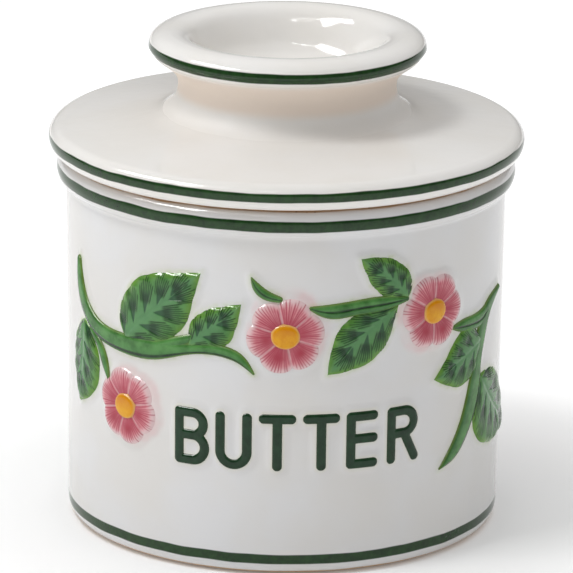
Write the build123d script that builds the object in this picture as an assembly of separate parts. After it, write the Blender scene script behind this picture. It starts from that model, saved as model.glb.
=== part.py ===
from build123d import *
from math import cos, hypot, pi, sin
import os

# A French-style butter crock in glazed stoneware, drawn in millimetres with +Z up.
# The origin is the centre of the foot, on the table, and the decorated front faces -Y.
# The lid carries a bell that holds the butter upside down in the crock's water.

# ---------------------------------------------------------------- driving dimensions
overall_diameter = 102.0
overall_height = 106.85
seat_height = 80.6            # top of the crock's collar, where the lid rests
wall_thickness = 4.4

# crock
foot_outer_radius = 43.3
foot_ring_width = 4.8
foot_recess = 1.5
foot_rounding = 3.2
wall_bottom_radius = 46.55    # outside, just above the rounding
wall_top_radius = 47.2        # outside, just below the collar
wall_top_height = 73.0
collar_radius = 49.3
collar_height = 77.0          # where the collar is widest
collar_seat_outer = 47.2
collar_seat_inner = 45.3
mouth_rounding = 2.3
floor_height = 6.5
floor_rounding = 6.0

# lid
flange_radius = overall_diameter / 2
flange_edge_height = 84.0
flange_seat_radius = 48.6
flange_shoulder_radius = 48.3
flange_shoulder_height = 86.5
flange_inner_radius = 31.0
flange_inner_height = 88.4
neck_radius = 23.4
neck_height = 94.6
knob_underside = (25.8, 99.6)
knob_radius = 29.8
knob_edge_height = 103.45     # where the knob is widest
knob_shoulder = (28.2, 106.3)
knob_crest_radius = 25.2
bowl_lip = (20.5, 104.5)      # points down the rim's inner slope and the bowl's side
bowl_side = (18.8, 100.3)
bowl_turn = (16.4, 96.7)
bowl_floor_height = 94.1

# bell
bell_mouth_height = 21.0
bell_mouth_radius = 36.0
bell_top_radius = 36.9
bell_fillet = 3.0
bell_wall = 4.2
ceiling_height = 83.6
ceiling_rounding = 3.0

# relief ornament
stem_relief = 0.9
leaf_relief = 1.1
petal_relief = 1.0
eye_relief = 1.7
letter_relief = 0.9
letter_stroke = 2.2
wall_radius = 47.4            # radius of the ornament's face, used to lay it out along the wall


# ---------------------------------------------------------------- thrown pieces
def turned(profile):
    """A solid of revolution from closed lines drawn as (radius, height)."""
    return revolve(Plane.XZ * make_face(profile), Axis.Z)


def quarter_round(centre, outer_radius, end_height):
    """A quarter ellipse from its widest point to straight above or below its centre."""
    rise = end_height - centre[1]
    return EllipticalCenterArc(
        centre, outer_radius - centre[0], abs(rise), 0, arc_size=90 if rise > 0 else -90
    )


def crock_base():
    """The straight-sided pot: foot ring, slightly flaring wall and rolled collar."""
    inner_top = collar_seat_inner - mouth_rounding
    inner_bottom = wall_bottom_radius - wall_thickness
    ring_inner = foot_outer_radius - foot_ring_width
    outline = [
        Line((0, foot_recess), (ring_inner - foot_recess, foot_recess)),
        Line((ring_inner - foot_recess, foot_recess), (ring_inner, 0)),
        Line((ring_inner, 0), (foot_outer_radius, 0)),
        Spline(
            (foot_outer_radius, 0),
            (wall_bottom_radius, foot_rounding),
            tangents=[(1, 0), (0, 1)],
        ),
        Line((wall_bottom_radius, foot_rounding), (wall_top_radius, wall_top_height)),
        Spline(
            (wall_top_radius, wall_top_height),
            (collar_radius, collar_height),
            tangents=[(0, 1), (0, 1)],
        ),
        quarter_round((collar_seat_outer, collar_height), collar_radius, seat_height),
        Line((collar_seat_outer, seat_height), (collar_seat_inner, seat_height)),
        Spline(
            (collar_seat_inner, seat_height),
            (inner_top, seat_height - mouth_rounding),
            tangents=[(-1, 0), (0, -1)],
        ),
        Line(
            (inner_top, seat_height - mouth_rounding),
            (inner_bottom, floor_height + floor_rounding),
        ),
        RadiusArc(
            (inner_bottom, floor_height + floor_rounding),
            (inner_bottom - floor_rounding, floor_height),
            floor_rounding,
        ),
        Line((inner_bottom - floor_rounding, floor_height), (0, floor_height)),
        Line((0, floor_height), (0, foot_recess)),
    ]
    return turned(outline)


def lid_top():
    """The flange that seats on the collar, and above it the flaring neck and rolled knob."""
    ceiling_radius = bell_top_radius - bell_wall
    knob_outer = (knob_radius, knob_edge_height)
    knob_crest = (knob_crest_radius, overall_height)
    outline = [
        Line((0, ceiling_height), (ceiling_radius - ceiling_rounding, ceiling_height)),
        RadiusArc(
            (ceiling_radius - ceiling_rounding, ceiling_height),
            (ceiling_radius, ceiling_height - ceiling_rounding),
            ceiling_rounding,
        ),
        Line((ceiling_radius, ceiling_height - ceiling_rounding), (flange_seat_radius, seat_height)),
        quarter_round((flange_seat_radius, flange_edge_height), flange_radius, seat_height),
        quarter_round(
            (flange_shoulder_radius, flange_edge_height), flange_radius, flange_shoulder_height
        ),
        Line(
            (flange_shoulder_radius, flange_shoulder_height),
            (flange_inner_radius, flange_inner_height),
        ),
        Spline(
            (flange_inner_radius, flange_inner_height),
            (neck_radius, neck_height),
            tangents=[(-1, 0.1), (0, 1)],
        ),
        Spline(
            (neck_radius, neck_height),
            knob_underside,
            knob_outer,
            tangents=[(0, 1), (0, 1)],
        ),
        Spline(
            knob_outer,
            knob_shoulder,
            knob_crest,
            tangents=[(0, 1), (-1, 0)],
        ),
        Spline(
            knob_crest,
            bowl_lip,
            bowl_side,
            bowl_turn,
            (0, bowl_floor_height),
            tangents=[(-1, 0), (-1, 0)],
        ),
        Line((0, bowl_floor_height), (0, ceiling_height)),
    ]
    return turned(outline)


def lid_bell():
    """The cup that holds the butter, luted to the flange's underside and open downwards."""
    lip_radius = bell_wall / 2
    lip_height = bell_mouth_height + lip_radius
    outline = [
        Line((bell_mouth_radius, lip_height), (bell_top_radius, seat_height - bell_fillet)),
        RadiusArc(
            (bell_top_radius, seat_height - bell_fillet),
            (bell_top_radius + bell_fillet, seat_height),
            -bell_fillet,
        ),
        Line((bell_top_radius + bell_fillet, seat_height), (bell_top_radius - bell_wall, seat_height)),
        Line((bell_top_radius - bell_wall, seat_height), (bell_mouth_radius - bell_wall, lip_height)),
        ThreePointArc(
            (bell_mouth_radius - bell_wall, lip_height),
            (bell_mouth_radius - lip_radius, bell_mouth_height),
            (bell_mouth_radius, lip_height),
        ),
    ]
    return turned(outline)


# ---------------------------------------------------------------- ornament on the wall
# Ornament is laid out on the unrolled wall: s runs to the right along the wall from the
# middle of the front, z is the height. Each piece is pressed on along the wall's own
# outward direction at its middle, as a sprig is.
def relief_shell(relief):
    """The layer of clay that lies on the wall, from its surface out to the given relief."""
    bottom = foot_rounding
    outline = Polyline(
        (wall_bottom_radius, bottom),
        (wall_bottom_radius + relief, bottom),
        (wall_top_radius + relief, wall_top_height),
        (wall_top_radius, wall_top_height),
        close=True,
    )
    return turned(outline)


def facing(middle):
    """The plane through the axis that faces outward at arc length `middle` along the wall."""
    angle = middle / wall_radius
    return Plane(
        origin=(0, 0, 0),
        x_dir=(cos(angle), sin(angle), 0),
        z_dir=(sin(angle), -cos(angle), 0),
    )


def flatten(points, middle):
    """Wall points as seen square on from outside at arc length `middle`."""
    return [(wall_radius * sin((s - middle) / wall_radius), z) for s, z in points]


def press_on(sketch, middle, relief):
    """The solid that a flat sketch makes on the wall at arc length `middle`."""
    start = wall_radius / 2
    prism = extrude(facing(middle).offset(start) * sketch, wall_radius - start + 5)
    return prism & relief_shell(relief)


def leaf(base, one_side, tip, other_side, middle):
    """A pointed leaf outline from its base along one side to the tip and back."""
    going = Spline(*flatten([base] + one_side + [tip], middle))
    coming = Spline(*flatten([tip] + other_side + [base], middle))
    return make_face([going, coming])


def stem(stations, middle):
    """A tapering stalk; each station is (s, z, half width) along its centre line."""
    one_side = []
    other_side = []
    for i, (s, z, half_width) in enumerate(stations):
        before = stations[max(i - 1, 0)]
        after = stations[min(i + 1, len(stations) - 1)]
        along = (after[0] - before[0], after[1] - before[1])
        scale = half_width / hypot(*along)
        one_side.append((s - along[1] * scale, z + along[0] * scale))
        other_side.append((s + along[1] * scale, z - along[0] * scale))
    one_side = flatten(one_side, middle)
    other_side = flatten(other_side, middle)
    outline = [
        Spline(*one_side),
        Line(one_side[-1], other_side[-1]),
        Spline(*reversed(other_side)),
        Line(other_side[0], one_side[0]),
    ]
    return make_face(outline)


petal_count = 6
petal_radius = 3.5
petal_distance = 4.9
eye_radius = 2.95


def petals(turn):
    """Six rounded petals round an open centre, the first one turned by `turn` degrees."""
    ring = Circle(petal_distance)
    for i in range(petal_count):
        angle = turn + i * 360 / petal_count
        ring += Pos(*Vector(petal_distance, 0).rotate(Axis.Z, angle)) * Circle(petal_radius)
    return ring - Circle(eye_radius)


# front ornament, in wall millimetres
back_garland_angle = 173      # turned round far enough to stay out of sight from the front
garland_turn_to_back = back_garland_angle / 180 * pi * wall_radius

left_stem_stations = [
    (-54.8, 61.2, 0.9),
    (-54.2, 56.5, 1.6),
    (-51.9, 52.0, 1.9),
    (-46.5, 48.3, 2.0),
    (-38.5, 47.0, 2.2),
    (-29.0, 47.3, 2.2),
    (-20.5, 48.9, 1.3),
    (-13.5, 49.3, 1.3),
    (-9.3, 47.9, 1.1),
    (-6.3, 44.8, 0.3),
]
petiole_stations = [
    (-28.5, 48.4, 1.0),
    (-24.6, 49.7, 1.1),
    (-21.2, 50.8, 1.1),
    (-18.8, 52.2, 0.5),
]
shoot_stations = [
    (-48.6, 47.0, 0.9),
    (-45.8, 44.8, 1.1),
    (-43.9, 41.6, 1.2),
    (-42.5, 37.9, 0.4),
]
centre_stem_stations = [
    (5.6, 59.2, 0.5),
    (9.5, 58.4, 1.6),
    (14.5, 58.8, 1.7),
    (20.5, 59.2, 1.7),
    (26.8, 59.6, 0.7),
]
right_stem_stations = [
    (60.4, 54.6, 0.7),
    (56.5, 53.2, 1.4),
    (53.0, 50.6, 2.1),
    (50.9, 46.0, 2.1),
    (49.6, 41.0, 1.9),
    (48.6, 36.0, 2.4),
    (46.9, 31.0, 2.4),
    (44.4, 26.6, 2.1),
    (41.0, 22.7, 1.6),
    (37.0, 20.0, 0.3),
]
right_hook_stations = [
    (40.3, 50.6, 0.5),
    (43.2, 50.4, 1.4),
    (46.8, 50.2, 1.7),
    (50.4, 50.4, 1.8),
    (54.0, 51.9, 1.4),
]
bud_stations = [
    (-6.9, 65.7, 0.2),
    (-5.6, 63.5, 1.0),
    (-3.7, 62.0, 1.1),
    (-1.0, 61.2, 0.7),
]

# each leaf: base, points up one side, tip, points down the other side
leaf_outlines = {
    "left_large_leaf": (
        (-37.0, 48.0),
        [(-38.8, 52.5), (-36.9, 58.2), (-32.5, 62.6), (-25.5, 64.7)],
        (-17.7, 65.9),
        [(-19.4, 60.0), (-21.4, 54.0), (-26.0, 49.6)],
    ),
    "left_small_leaf": (
        (-21.0, 49.2),
        [(-20.4, 54.0), (-17.3, 57.4), (-13.0, 59.0)],
        (-8.9, 59.9),
        [(-9.7, 55.8), (-11.4, 51.4)],
    ),
    "left_hanging_leaf": (
        (-52.0, 49.0),
        [(-55.8, 46.2), (-57.6, 40.5), (-57.0, 34.5)],
        (-55.0, 29.6),
        [(-49.3, 32.5), (-46.3, 37.0), (-46.5, 42.5), (-49.3, 46.8)],
    ),
    "centre_upper_leaf": (
        (27.3, 59.5),
        [(28.3, 62.2), (26.9, 66.0), (22.5, 69.0)],
        (15.9, 69.5),
        [(17.4, 65.6), (19.9, 62.0), (23.3, 59.9)],
    ),
    "centre_lower_leaf": (
        (25.0, 58.4),
        [(18.5, 58.4), (12.9, 55.9), (10.2, 51.0)],
        (9.1, 44.4),
        [(14.5, 45.3), (20.2, 48.0), (23.3, 52.5)],
    ),
    "right_inner_leaf": (
        (51.0, 46.0),
        [(45.6, 50.4), (41.2, 47.8), (37.7, 43.6)],
        (34.6, 40.2),
        [(39.5, 37.8), (44.6, 37.1), (48.6, 39.4)],
    ),
    "right_outer_leaf": (
        (50.6, 37.6),
        [(56.2, 37.9), (61.6, 35.2), (66.0, 29.2)],
        (69.5, 21.4),
        [(61.0, 20.5), (53.8, 21.6), (49.3, 25.2), (48.6, 30.5)],
    ),
}

# each flower: middle of its eye, and the turn of its first petal in degrees
flowers = {
    "left_flower": ((-36.8, 33.3), 44),
    "centre_flower": ((0.3, 53.2), 12),
    "right_flower": ((34.2, 55.6), 58),
}


def leaf_piece(name, shift=0.0):
    """One leaf on the wall, moved along the wall by `shift`."""
    base, one_side, tip, other_side = leaf_outlines[name]
    middle = (base[0] + tip[0]) / 2
    return press_on(leaf(base, one_side, tip, other_side, middle), middle + shift, leaf_relief)


def stem_piece(stations, shift=0.0):
    """One stalk on the wall, moved along the wall by `shift`."""
    middle = (stations[0][0] + stations[-1][0]) / 2
    return press_on(stem(stations, middle), middle + shift, stem_relief)


def petals_piece(name, shift=0.0):
    """The six petals of one flower."""
    (s, z), turn = flowers[name]
    return press_on(Pos(0, z) * petals(turn), s + shift, petal_relief)


def eye_piece(name, shift=0.0):
    """The domed eye in the middle of one flower."""
    (s, z), _ = flowers[name]
    eye = press_on(Pos(0, z) * Circle(eye_radius), s + shift, eye_relief)
    rim = [edge for edge in eye.edges() if distance_from_axis(edge) > wall_top_radius + 0.5]
    return fillet(rim, eye_relief - petal_relief)


def distance_from_axis(edge):
    """How far the middle of an edge lies from the crock's axis."""
    middle = edge @ 0.5
    return hypot(middle.X, middle.Y)


def garland(shift=0.0):
    """Every stalk, leaf and flower of one garland, each cut clear of those laid before it."""
    pieces = {
        "left_stem": stem_piece(left_stem_stations, shift) + stem_piece(petiole_stations, shift),
        "centre_stem": stem_piece(centre_stem_stations, shift),
        "right_stem": stem_piece(right_stem_stations, shift) + stem_piece(right_hook_stations, shift),
    }
    pieces["bud_leaf"] = stem_piece(bud_stations, shift)
    for name in flowers:
        pieces[name + "_petals"] = petals_piece(name, shift)
        pieces[name + "_eye"] = eye_piece(name, shift)
    shoot = stem_piece(shoot_stations, shift) - pieces["left_stem"]
    pieces["left_shoot"] = main_piece(shoot - pieces["left_flower_petals"])
    for name in leaf_outlines:
        blank = leaf_piece(name, shift)
        for other in pieces.values():
            blank = blank - other
        pieces[name] = main_piece(blank)
    return pieces


def main_piece(shape):
    """The largest solid of a cut shape, without slivers."""
    return max(shape.solids(), key=lambda solid: solid.volume)


# ---------------------------------------------------------------- lettering
# The plain name of the contents, in level capitals of one stroke width, evenly spaced.
# Widths and heights are between the centre lines of the strokes.
baseline = 24.6
cap_height = 10.4
waist = 5.5                   # height of the middle bar
letter_width = 5.8
letter_pitch = 9.3            # from one letter's left side to the next one's
bar_length = 5.0
bowl_reach = 3.1              # straight part of the bars that end in a bowl
word_middle = 3.5


def stroke(path):
    """One rounded stroke along a line or an arc."""
    return SlotArc(path, letter_stroke)


def post(across):
    """An upright stroke of full height."""
    return stroke(Line((across, 0), (across, cap_height)))


def bars(heights, length):
    """Level strokes from the letter's left side."""
    return [stroke(Line((0, height), (length, height))) for height in heights]


def bowl(low, high):
    """A half circle to the right of the bars at two heights."""
    radius = (high - low) / 2
    return stroke(CenterArc((bowl_reach, low + radius), radius, -90, 180))


def letter_b():
    return post(0) + bars((0, waist, cap_height), bowl_reach) + bowl(0, waist) + bowl(waist, cap_height)


def letter_u():
    radius = letter_width / 2
    sides = [stroke(Line((side, radius), (side, cap_height))) for side in (0, letter_width)]
    return stroke(CenterArc((radius, radius), radius, 180, 180)) + sides


def letter_t():
    return post(letter_width / 2) + bars([cap_height], letter_width)


def letter_e():
    return post(0) + bars((0, waist, cap_height), bar_length)


def letter_r():
    leg = stroke(Line((bowl_reach, waist), (letter_width, 0)))
    return post(0) + bars((waist, cap_height), bowl_reach) + bowl(waist, cap_height) + leg


word = [letter_b, letter_u, letter_t, letter_t, letter_e, letter_r]


def lettering():
    """The word on the front, one solid for each letter."""
    word_width = (len(word) - 1) * letter_pitch + letter_width
    letters = []
    for i, draw in enumerate(word):
        outline = draw()
        middle = outline.bounding_box().center().X
        placed = Pos(-middle, baseline) * outline
        left = word_middle - word_width / 2 + i * letter_pitch
        letters.append(main_piece(press_on(placed, left + middle, letter_relief)))
    return Compound(children=letters)


# ---------------------------------------------------------------- the nodes
def group(pieces, names):
    """Several separate solids kept together in one node."""
    return Compound(children=[main_piece(pieces[name]) for name in names])


def main():
    front = garland()
    back = garland(garland_turn_to_back)
    nodes = {
        "crock_base": crock_base(),
        "lid_top": lid_top(),
        "lid_bell": lid_bell(),
        "lettering": lettering(),
        "back_stems": group(back, [name for name in back if name.endswith(("stem", "shoot"))]),
        "back_leaves": group(back, [name for name in back if name.endswith("leaf")]),
        "back_flower_petals": group(back, [name for name in back if name.endswith("petals")]),
        "back_flower_eyes": group(back, [name for name in back if name.endswith("eye")]),
    }
    nodes.update({name: main_piece(piece) for name, piece in front.items()})
    os.makedirs("parts", exist_ok=True)
    for name, shape in nodes.items():
        export_step(shape, f"parts/{name}.step")


main()
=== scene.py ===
"""The looks of the butter crock: glazed pot, lid, bell and hand-painted relief garland."""
import math

import bmesh
import bpy
import numpy as np
from mathutils import Matrix, Vector


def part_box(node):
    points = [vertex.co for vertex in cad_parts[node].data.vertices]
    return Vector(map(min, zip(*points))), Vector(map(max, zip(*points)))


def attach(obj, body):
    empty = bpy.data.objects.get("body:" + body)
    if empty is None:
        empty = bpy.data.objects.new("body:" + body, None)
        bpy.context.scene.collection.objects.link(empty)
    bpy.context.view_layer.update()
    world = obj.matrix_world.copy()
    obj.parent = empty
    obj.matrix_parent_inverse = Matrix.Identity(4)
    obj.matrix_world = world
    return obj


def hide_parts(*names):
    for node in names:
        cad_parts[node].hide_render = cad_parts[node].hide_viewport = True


MM = 0.001
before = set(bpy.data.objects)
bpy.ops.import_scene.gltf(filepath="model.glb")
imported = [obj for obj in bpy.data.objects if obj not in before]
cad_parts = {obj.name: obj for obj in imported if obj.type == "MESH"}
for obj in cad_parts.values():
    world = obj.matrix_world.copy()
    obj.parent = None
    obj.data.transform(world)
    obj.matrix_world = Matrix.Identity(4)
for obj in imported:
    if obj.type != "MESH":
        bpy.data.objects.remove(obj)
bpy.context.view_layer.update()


# ------------------------------------------------------------------ sizes from the frame, in mm
def size_of(node):
    """Outer radius, lowest and highest height of a turned CAD node."""
    low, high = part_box(node)
    return min(high.x, high.y) / MM, low.z / MM, high.z / MM


def wall_place(node):
    """Arc length along the wall and height of the middle of a CAD node."""
    low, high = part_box(node)
    middle = (low + high) / 2 / MM
    return math.atan2(middle.x, -middle.y) * WALL_RADIUS, middle.z


COLLAR_RADIUS, _, SEAT = size_of("crock_base")
FLANGE_RADIUS, _, TOP = size_of("lid_top")
_, BELL_MOUTH, _ = size_of("lid_bell")

WALL_RADIUS = 47.4            # radius of the ornament's surface, used to measure along the wall
HALF_ROUND = math.pi * WALL_RADIUS
BACK_TURN = math.radians(173)  # how far round the pot the far garland is repeated
WALL_BOTTOM = (46.55, 3.2)    # outside of the wall: radius and height at its foot and top
WALL_TOP = (47.2, 73.0)
INNER_BOTTOM = (42.15, 12.5)
INNER_TOP = (43.0, SEAT - 2.3)
FLOOR = 6.5
RELIEF_BASE = 0.42            # how far the clay swells up under the ornament
SWELL_WIDTH = 1.7             # how far that swelling runs out past the ornament
BACK_DEPTH = -0.25            # the ornament's hidden back lies this far inside the wall
STEP = 0.16                   # spacing of the mesh of stalks and letters
LEAF_STEP = 0.12              # spacing of the mesh of the leaves


def wall_line(z):
    """Outside radius of the wall at height z."""
    slope = (WALL_TOP[0] - WALL_BOTTOM[0]) / (WALL_TOP[1] - WALL_BOTTOM[1])
    return WALL_BOTTOM[0] + (z - WALL_BOTTOM[1]) * slope


def round_places(angle, radius, height):
    """Places in metres, from the angle round the pot from its front, and mm."""
    return np.column_stack([radius * np.sin(angle), -radius * np.cos(angle), height]) * MM


def on_wall(s, z, height):
    """Places in metres of wall points that stand `height` mm off the wall."""
    return round_places(s / WALL_RADIUS, wall_line(z) + height, z)


def all_round(profile, segments):
    """Angle, radius and height of each point of a profile, repeated all round the axis."""
    angle = np.linspace(0, 2 * np.pi, segments, endpoint=False)
    radius, height = np.repeat(profile, segments, axis=0).T
    return np.tile(angle, len(profile)), radius, height


# ------------------------------------------------------------------ lines and curves
def cubic(x, y, at):
    """A natural cubic spline through (x, y), read at the given places."""
    step = np.diff(x)
    count = len(x)
    matrix = np.eye(count)
    right = np.zeros(count)
    for i in range(1, count - 1):
        matrix[i, i - 1 : i + 2] = step[i - 1], 2 * (step[i - 1] + step[i]), step[i]
        right[i] = 6 * ((y[i + 1] - y[i]) / step[i] - (y[i] - y[i - 1]) / step[i - 1])
    bend = np.linalg.solve(matrix, right)
    i = np.clip(np.searchsorted(x, at, side="right") - 1, 0, count - 2)
    t = at - x[i]
    slope = (y[i + 1] - y[i]) / step[i] - step[i] * (2 * bend[i] + bend[i + 1]) / 6
    return y[i] + t * (slope + t * (bend[i] / 2 + t * (bend[i + 1] - bend[i]) / (6 * step[i])))


def smooth_line(points, count):
    """Evenly spaced points on a smooth line through the given ones; extra columns follow."""
    points = np.asarray(points, float)
    chord = np.r_[0, np.cumsum(np.hypot(*np.diff(points[:, :2], axis=0).T))]
    fine = np.linspace(0, chord[-1], 12 * count)
    curve = np.column_stack([cubic(chord, column, fine) for column in points.T])
    length = np.r_[0, np.cumsum(np.hypot(*np.diff(curve[:, :2], axis=0).T))]
    even = np.linspace(0, length[-1], count)
    return np.column_stack([np.interp(even, length, column) for column in curve.T])


def run(start, end, count):
    """Evenly spaced points on a straight line, without the last one."""
    return np.linspace(start, end, count, endpoint=False)


def bow(centre, radii, start, end, count):
    """Points on an elliptical arc between two angles in degrees."""
    angle = np.radians(np.linspace(start, end, count))
    return np.column_stack(
        [centre[0] + radii[0] * np.cos(angle), centre[1] + radii[1] * np.sin(angle)]
    )


def smoothstep(t):
    """0 below 0, 1 above 1 and a smooth rise between."""
    t = np.clip(t, 0, 1)
    return t * t * (3 - 2 * t)


def rounded(depth, width):
    """The height of a quarter-round edge, 0 at depth 0 and 1 from depth `width` on."""
    t = np.clip(depth / width, 0, 1)
    return np.sqrt(1 - (1 - t) ** 2)


def bevelled(depth, rise, slope):
    """Height that climbs from an edge at a steady slope and levels off at rise."""
    return rise * np.tanh(slope * np.maximum(depth, 0) / rise)


# ------------------------------------------------------------------ pieces
def add_object(name, data):
    """A new object in the scene."""
    thing = bpy.data.objects.new(name, data)
    bpy.context.scene.collection.objects.link(thing)
    return thing


def make_piece(name, places, faces, material, body, nodes, marks=None):
    """A smooth-shaded mesh object that rides on a CAD body and stands for CAD nodes."""
    mesh = bpy.data.meshes.new(name)
    mesh.from_pydata(places.tolist(), [], faces)
    shell = bmesh.new()
    shell.from_mesh(mesh)
    bmesh.ops.recalc_face_normals(shell, faces=shell.faces)
    shell.to_mesh(mesh)
    shell.free()
    mesh.polygons.foreach_set("use_smooth", np.ones(len(mesh.polygons), bool))
    for key, values in (marks or {}).items():
        mesh.attributes.new(key, "FLOAT", "POINT").data.foreach_set("value", values)
    mesh.materials.append(material)
    piece = add_object(name, mesh)
    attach(piece, body)
    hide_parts(*nodes)
    return piece


def turned_mesh(profile, segments, swell):
    """Places and faces of a closed solid of revolution whose profile starts and ends on the axis.

    swell(angle, radius, height) gives how far each point moves outward, in mm.
    """
    rings = profile[1:-1]
    around, radius, height = all_round(rings, segments)
    places = round_places(around, radius + swell(around, radius, height), height)
    poles = [(0, 0, profile[0, 1] * MM), (0, 0, profile[-1, 1] * MM)]
    places = np.vstack([places, poles])
    first, last = len(places) - 2, len(places) - 1
    here = np.arange(segments)
    there = np.roll(here, -1)
    faces = [(first, b, a) for a, b in zip(here.tolist(), there.tolist())]
    for ring in range(len(rings) - 1):
        low = ring * segments
        high = low + segments
        quads = np.column_stack([low + here, low + there, high + there, high + here])
        faces += quads.tolist()
    low = (len(rings) - 1) * segments
    faces += [(low + a, low + b, last) for a, b in zip(here.tolist(), there.tolist())]
    return places, faces


def grid_faces(rows, columns, wrap=False):
    """Quads of a grid of rows x columns vertices, closed across the columns if wrap."""
    index = np.arange(rows * columns).reshape(rows, columns)
    right = np.roll(index, -1, axis=1)
    stop = columns if wrap else columns - 1
    quads = np.stack([index[:-1], index[1:], right[1:], right[:-1]], axis=-1)
    return quads[:, :stop].reshape(-1, 4)


def closed_leaf(points, height, rows, columns):
    """Places and faces of a leaf: the full grid in front, three columns of it at the back.

    The last value gives the front point that each point of the back lies behind.
    """
    front = on_wall(points[:, 0], points[:, 1], height)
    top = np.arange(rows * columns).reshape(rows, columns)
    behind = top[:, [0, columns // 2, -1]]
    hidden = points[behind.ravel()]
    back = on_wall(hidden[:, 0], hidden[:, 1], np.full(len(hidden), BACK_DEPTH))
    low = len(front) + np.arange(len(back)).reshape(rows, 3)
    faces = grid_faces(rows, columns).tolist()
    for one, other in (
        (low[:, 0], low[:, 1]),
        (low[:, 1], low[:, 2]),
        (top[:, 0], low[:, 0]),
        (top[:, -1], low[:, 2]),
    ):
        faces += np.column_stack([one[:-1], other[:-1], other[1:], one[1:]]).tolist()
    faces += [top[row].tolist() + low[row, ::-1].tolist() for row in (0, -1)]
    return np.vstack([front, back]), faces, behind.ravel()


def closed_sheet(points, height, faces):
    """Places and faces of a solid on the wall: a modelled front, a plain back and a rim."""
    count = len(points)
    flat = np.full(count, BACK_DEPTH)
    front = on_wall(points[:, 0], points[:, 1], height)
    back = on_wall(points[:, 0], points[:, 1], flat)
    edges = np.vstack([faces[:, [a, (a + 1) % 4]] for a in range(4)])
    edges = edges[edges[:, 0] != edges[:, 1]]
    key = edges[:, 0] * count + edges[:, 1]
    twin = edges[:, 1] * count + edges[:, 0]
    rim = edges[~np.isin(key, twin)]
    sides = np.column_stack([rim[:, 1], rim[:, 0], rim[:, 0] + count, rim[:, 1] + count])
    every = np.vstack([faces, faces[:, ::-1] + count, sides]).tolist()
    return np.vstack([front, back]), [tuple(dict.fromkeys(face)) for face in every]


# ------------------------------------------------------------------ the garland's layout
# Arc length along the wall from the middle of the front, and height, in mm. These are the
# same sprigs as the CAD nodes of the same names.
STEMS = {
    # stations (s, z, half width), then where the painted dark line runs across it, -1 to 1
    "left_stem": (
        [
            (-54.8, 61.2, 0.9), (-54.2, 56.5, 1.6), (-51.9, 52.0, 1.9),
            (-46.5, 48.3, 2.0), (-38.5, 47.0, 2.2), (-29.0, 47.3, 2.2),
            (-20.5, 48.9, 1.3), (-13.5, 49.3, 1.3), (-9.3, 47.9, 1.1),
            (-6.3, 44.8, 0.3),
        ],
        -0.62,
    ),
    "left_shoot": (
        [(-48.6, 47.0, 0.9), (-45.8, 44.8, 1.1), (-43.9, 41.6, 1.2), (-42.5, 37.9, 0.4)],
        -0.45,
    ),
    "centre_stem": (
        [
            (5.6, 59.2, 0.5), (9.5, 58.4, 1.6), (14.5, 58.8, 1.7), (20.5, 59.2, 1.7),
            (26.8, 59.6, 0.7),
        ],
        -0.05,
    ),
    "right_stem": (
        [
            (60.4, 54.6, 0.7), (56.5, 53.2, 1.4), (53.0, 50.6, 2.1), (50.9, 46.0, 2.1),
            (49.6, 41.0, 1.9), (48.6, 36.0, 2.4), (46.9, 31.0, 2.4), (44.4, 26.6, 2.1),
            (41.0, 22.7, 1.6), (37.0, 20.0, 0.3),
        ],
        0.7,
    ),
    "right_hook": (
        [
            (40.3, 50.6, 0.5), (43.2, 50.4, 1.4), (46.8, 50.2, 1.7), (50.4, 50.4, 1.8),
            (54.0, 51.9, 1.4),
        ],
        -0.1,
    ),
    "left_petiole": (
        [(-28.5, 48.4, 1.0), (-24.6, 49.7, 1.1), (-21.2, 50.8, 1.1), (-18.8, 52.2, 0.5)],
        -3.0,
    ),
    "bud_leaf": (
        [(-6.9, 65.7, 0.2), (-5.6, 63.5, 1.0), (-3.7, 62.0, 1.1), (-1.0, 61.2, 0.7)],
        -0.1,
    ),
}

LEAVES = {
    # base, points up one side, tip, points up the other side, midrib, lobes on each side
    "left_large_leaf": (
        (-37.0, 48.0),
        [(-38.8, 52.5), (-36.9, 58.2), (-32.5, 62.6), (-25.5, 64.7)],
        (-17.7, 65.9),
        [(-26.0, 49.6), (-21.4, 54.0), (-19.4, 60.0)],
        [(-33.5, 52.0), (-26.5, 58.0)],
        (5, 4),
    ),
    "left_small_leaf": (
        (-21.0, 49.2),
        [(-20.4, 54.0), (-17.3, 57.4), (-13.0, 59.0)],
        (-8.9, 59.9),
        [(-11.4, 51.4), (-9.7, 55.8)],
        [(-16.5, 53.2)],
        (4, 3),
    ),
    "left_hanging_leaf": (
        (-52.0, 49.0),
        [(-49.3, 46.8), (-46.5, 42.5), (-46.3, 37.0), (-49.3, 32.5)],
        (-55.0, 29.6),
        [(-55.8, 46.2), (-57.6, 40.5), (-57.0, 34.5)],
        [(-52.2, 41.0)],
        (4, 4),
    ),
    "centre_upper_leaf": (
        (27.3, 59.5),
        [(23.3, 59.9), (19.9, 62.0), (17.4, 65.6)],
        (15.9, 69.5),
        [(28.3, 62.2), (26.9, 66.0), (22.5, 69.0)],
        [(23.0, 64.4)],
        (4, 4),
    ),
    "centre_lower_leaf": (
        (25.0, 58.4),
        [(23.3, 52.5), (20.2, 48.0), (14.5, 45.3)],
        (9.1, 44.4),
        [(18.5, 58.4), (12.9, 55.9), (10.2, 51.0)],
        [(17.0, 53.2)],
        (4, 4),
    ),
    "right_inner_leaf": (
        (51.0, 46.0),
        [(48.6, 39.4), (44.6, 37.1), (39.5, 37.8)],
        (34.6, 40.2),
        [(45.6, 50.4), (41.2, 47.8), (37.7, 43.6)],
        [(43.0, 43.2)],
        (4, 4),
    ),
    "right_outer_leaf": (
        (50.6, 37.6),
        [(56.2, 37.9), (61.6, 35.2), (66.0, 29.2)],
        (69.5, 21.4),
        [(48.6, 30.5), (49.3, 25.2), (53.8, 21.6), (61.0, 20.5)],
        [(56.5, 30.5)],
        (4, 5),
    ),
}

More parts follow.
